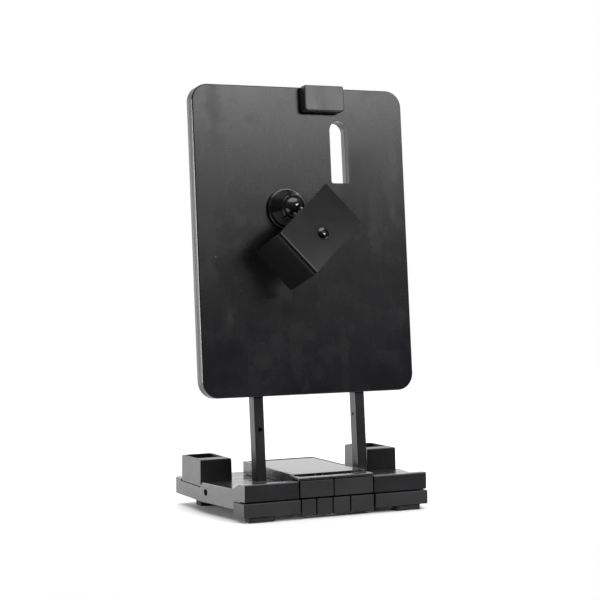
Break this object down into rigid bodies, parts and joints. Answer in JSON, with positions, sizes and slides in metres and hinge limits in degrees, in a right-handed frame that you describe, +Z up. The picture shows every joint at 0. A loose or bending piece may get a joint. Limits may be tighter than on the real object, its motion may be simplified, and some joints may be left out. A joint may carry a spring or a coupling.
{
  "type": "album stand",
  "caption": "Upright panel with a slot, a top clip and an angled bracket on a ball mount, on two legs over a flared base with socket blocks, keys and a lidded bay.",
  "frame": {"origin": "on the floor under the middle of the whole stand's box", "axes": "+X to the user's right, +Y away from the user, +Z up"},
  "size_m": [0.1784, 0.124, 0.3274],
  "materials": {
    "panel_plastic": "satin moulded black plastic with a fine grain",
    "panel_back_plastic": "matt moulded black plastic",
    "base_plastic": "satin moulded black plastic",
    "rail_plastic": "satin moulded black plastic",
    "block_plastic": "satin moulded black plastic",
    "bay_plastic": "satin moulded black plastic",
    "key_plastic": "satin moulded black plastic",
    "lid_gloss": "smooth glossy black plastic",
    "leg_metal": "satin black paint",
    "leg_socket_plastic": "satin moulded black plastic",
    "guide_plastic": "matt moulded black plastic",
    "knob_plastic": "matt moulded black plastic",
    "clip_plastic": "satin moulded black plastic",
    "mount_gloss": "glossy black plastic",
    "bracket_sheet": "satin black powder coat on bent sheet",
    "bracket_screw_steel": "black oxide, slightly shiny",
    "bright_steel": "bright steel",
    "screw_steel": "dull steel",
    "spring_steel": "spring wire",
    "foot_rubber": "matt black rubber"
  },
  "bodies": {
    "base": {"base_cover": "base_plastic", "bottom_plate": "base_plastic", "key_frame": "base_plastic", "lower_rail_left": "rail_plastic", "lower_rail_right": "rail_plastic", "socket_block_left": "block_plastic", "socket_block_right": "block_plastic", "bay_housing": "bay_plastic", "leg_left": "leg_metal", "leg_right": "leg_metal", "leg_socket_left": "leg_socket_plastic", "leg_socket_right": "leg_socket_plastic", "recess_pin_1": "bright_steel", "recess_pin_2": "bright_steel", "lid_hinge_pin": "bright_steel", "base_screw_1": "screw_steel", "base_screw_2": "screw_steel", "base_screw_3": "screw_steel", "base_screw_4": "screw_steel", "leg_screw_left": "screw_steel", "leg_screw_right": "screw_steel", "upper_key_1_spring": "spring_steel", "upper_key_2_spring": "spring_steel", "lower_key_1_spring": "spring_steel", "lower_key_2_spring": "spring_steel", "lower_key_3_spring": "spring_steel", "lower_key_4_spring": "spring_steel", "front_foot_left": "foot_rubber", "front_foot_right": "foot_rubber", "rear_foot_left": "foot_rubber", "rear_foot_right": "foot_rubber"},
    "panel": {"panel_front": "panel_plastic", "panel_back": "panel_back_plastic", "panel_screw_1": "screw_steel", "panel_screw_2": "screw_steel", "panel_screw_3": "screw_steel", "panel_screw_4": "screw_steel", "leg_guide_left": "guide_plastic", "leg_guide_right": "guide_plastic", "socket_flange": "mount_gloss", "socket_screw": "bright_steel", "clip_spring": "spring_steel"},
    "clip": {"top_clip": "clip_plastic"},
    "ball_cup": {"socket_cup": "mount_gloss"},
    "stud": {"ball_stud": "mount_gloss"},
    "bracket": {"bracket": "bracket_sheet", "bracket_screw": "bracket_screw_steel"},
    "lid": {"lid": "lid_gloss"},
    "knob_left": {"lock_knob_left": "knob_plastic"},
    "knob_right": {"lock_knob_right": "knob_plastic"},
    "upper_key_1_body": {"upper_key_1": "key_plastic"},
    "upper_key_2_body": {"upper_key_2": "key_plastic"},
    "lower_key_1_body": {"lower_key_1": "key_plastic"},
    "lower_key_2_body": {"lower_key_2": "key_plastic"},
    "lower_key_3_body": {"lower_key_3": "key_plastic"},
    "lower_key_4_body": {"lower_key_4": "key_plastic"}
  },
  "joints": [
    {"name": "panel_height", "type": "slide", "parent": "base", "child": "panel", "axis": [0, 0.0698, 0.9976], "range_m": [-0.045, 0]},
    {"name": "clip_slide", "type": "slide", "parent": "panel", "child": "clip", "axis": [0, 0.0698, 0.9976], "range_m": [0, 0.01], "stiffness_N_per_m": 60, "springref_m": -0.01},
    {"name": "mount_turn", "type": "hinge", "parent": "panel", "child": "ball_cup", "pos_m": [-0.0152, -0.01907, 0.23209], "axis": [0, -0.9976, 0.0698], "continuous": true},
    {"name": "ball_tilt", "type": "hinge", "parent": "ball_cup", "child": "stud", "pos_m": [-0.0152, -0.01907, 0.23209], "axis": [0.3417, 0.0656, 0.9375], "range_deg": [-22, 4]},
    {"name": "bracket_spin", "type": "hinge", "parent": "stud", "child": "bracket", "pos_m": [-0.00173, -0.045, 0.21125], "axis": [-0.1473, 0.9296, -0.3378], "range_deg": [-45, 30]},
    {"name": "lid_hinge", "type": "hinge", "parent": "base", "child": "lid", "pos_m": [0, 0.0405, 0.0274], "axis": [-1, 0, 0], "range_deg": [0, 35]},
    {"name": "knob_left_turn", "type": "hinge", "parent": "panel", "child": "knob_left", "pos_m": [-0.043, 0.00041, 0.10702], "axis": [0, 0.9976, -0.0698], "continuous": true},
    {"name": "knob_right_turn", "type": "hinge", "parent": "panel", "child": "knob_right", "pos_m": [0.043, 0.00041, 0.10702], "axis": [0, 0.9976, -0.0698], "continuous": true},
    {"name": "upper_key_1_press", "type": "slide", "parent": "base", "child": "upper_key_1_body", "axis": [0, 1, 0], "range_m": [0, 0.0012], "stiffness_N_per_m": 200, "springref_m": -0.0008},
    {"name": "upper_key_2_press", "type": "slide", "parent": "base", "child": "upper_key_2_body", "axis": [0, 1, 0], "range_m": [0, 0.0012], "stiffness_N_per_m": 200, "springref_m": -0.0008},
    {"name": "lower_key_1_press", "type": "slide", "parent": "base", "child": "lower_key_1_body", "axis": [0, 1, 0], "range_m": [0, 0.0012], "stiffness_N_per_m": 200, "springref_m": -0.0008},
    {"name": "lower_key_2_press", "type": "slide", "parent": "base", "child": "lower_key_2_body", "axis": [0, 1, 0], "range_m": [0, 0.0012], "stiffness_N_per_m": 200, "springref_m": -0.0008},
    {"name": "lower_key_3_press", "type": "slide", "parent": "base", "child": "lower_key_3_body", "axis": [0, 1, 0], "range_m": [0, 0.0012], "stiffness_N_per_m": 200, "springref_m": -0.0008},
    {"name": "lower_key_4_press", "type": "slide", "parent": "base", "child": "lower_key_4_body", "axis": [0, 1, 0], "range_m": [0, 0.0012], "stiffness_N_per_m": 200, "springref_m": -0.0008}
  ]
}
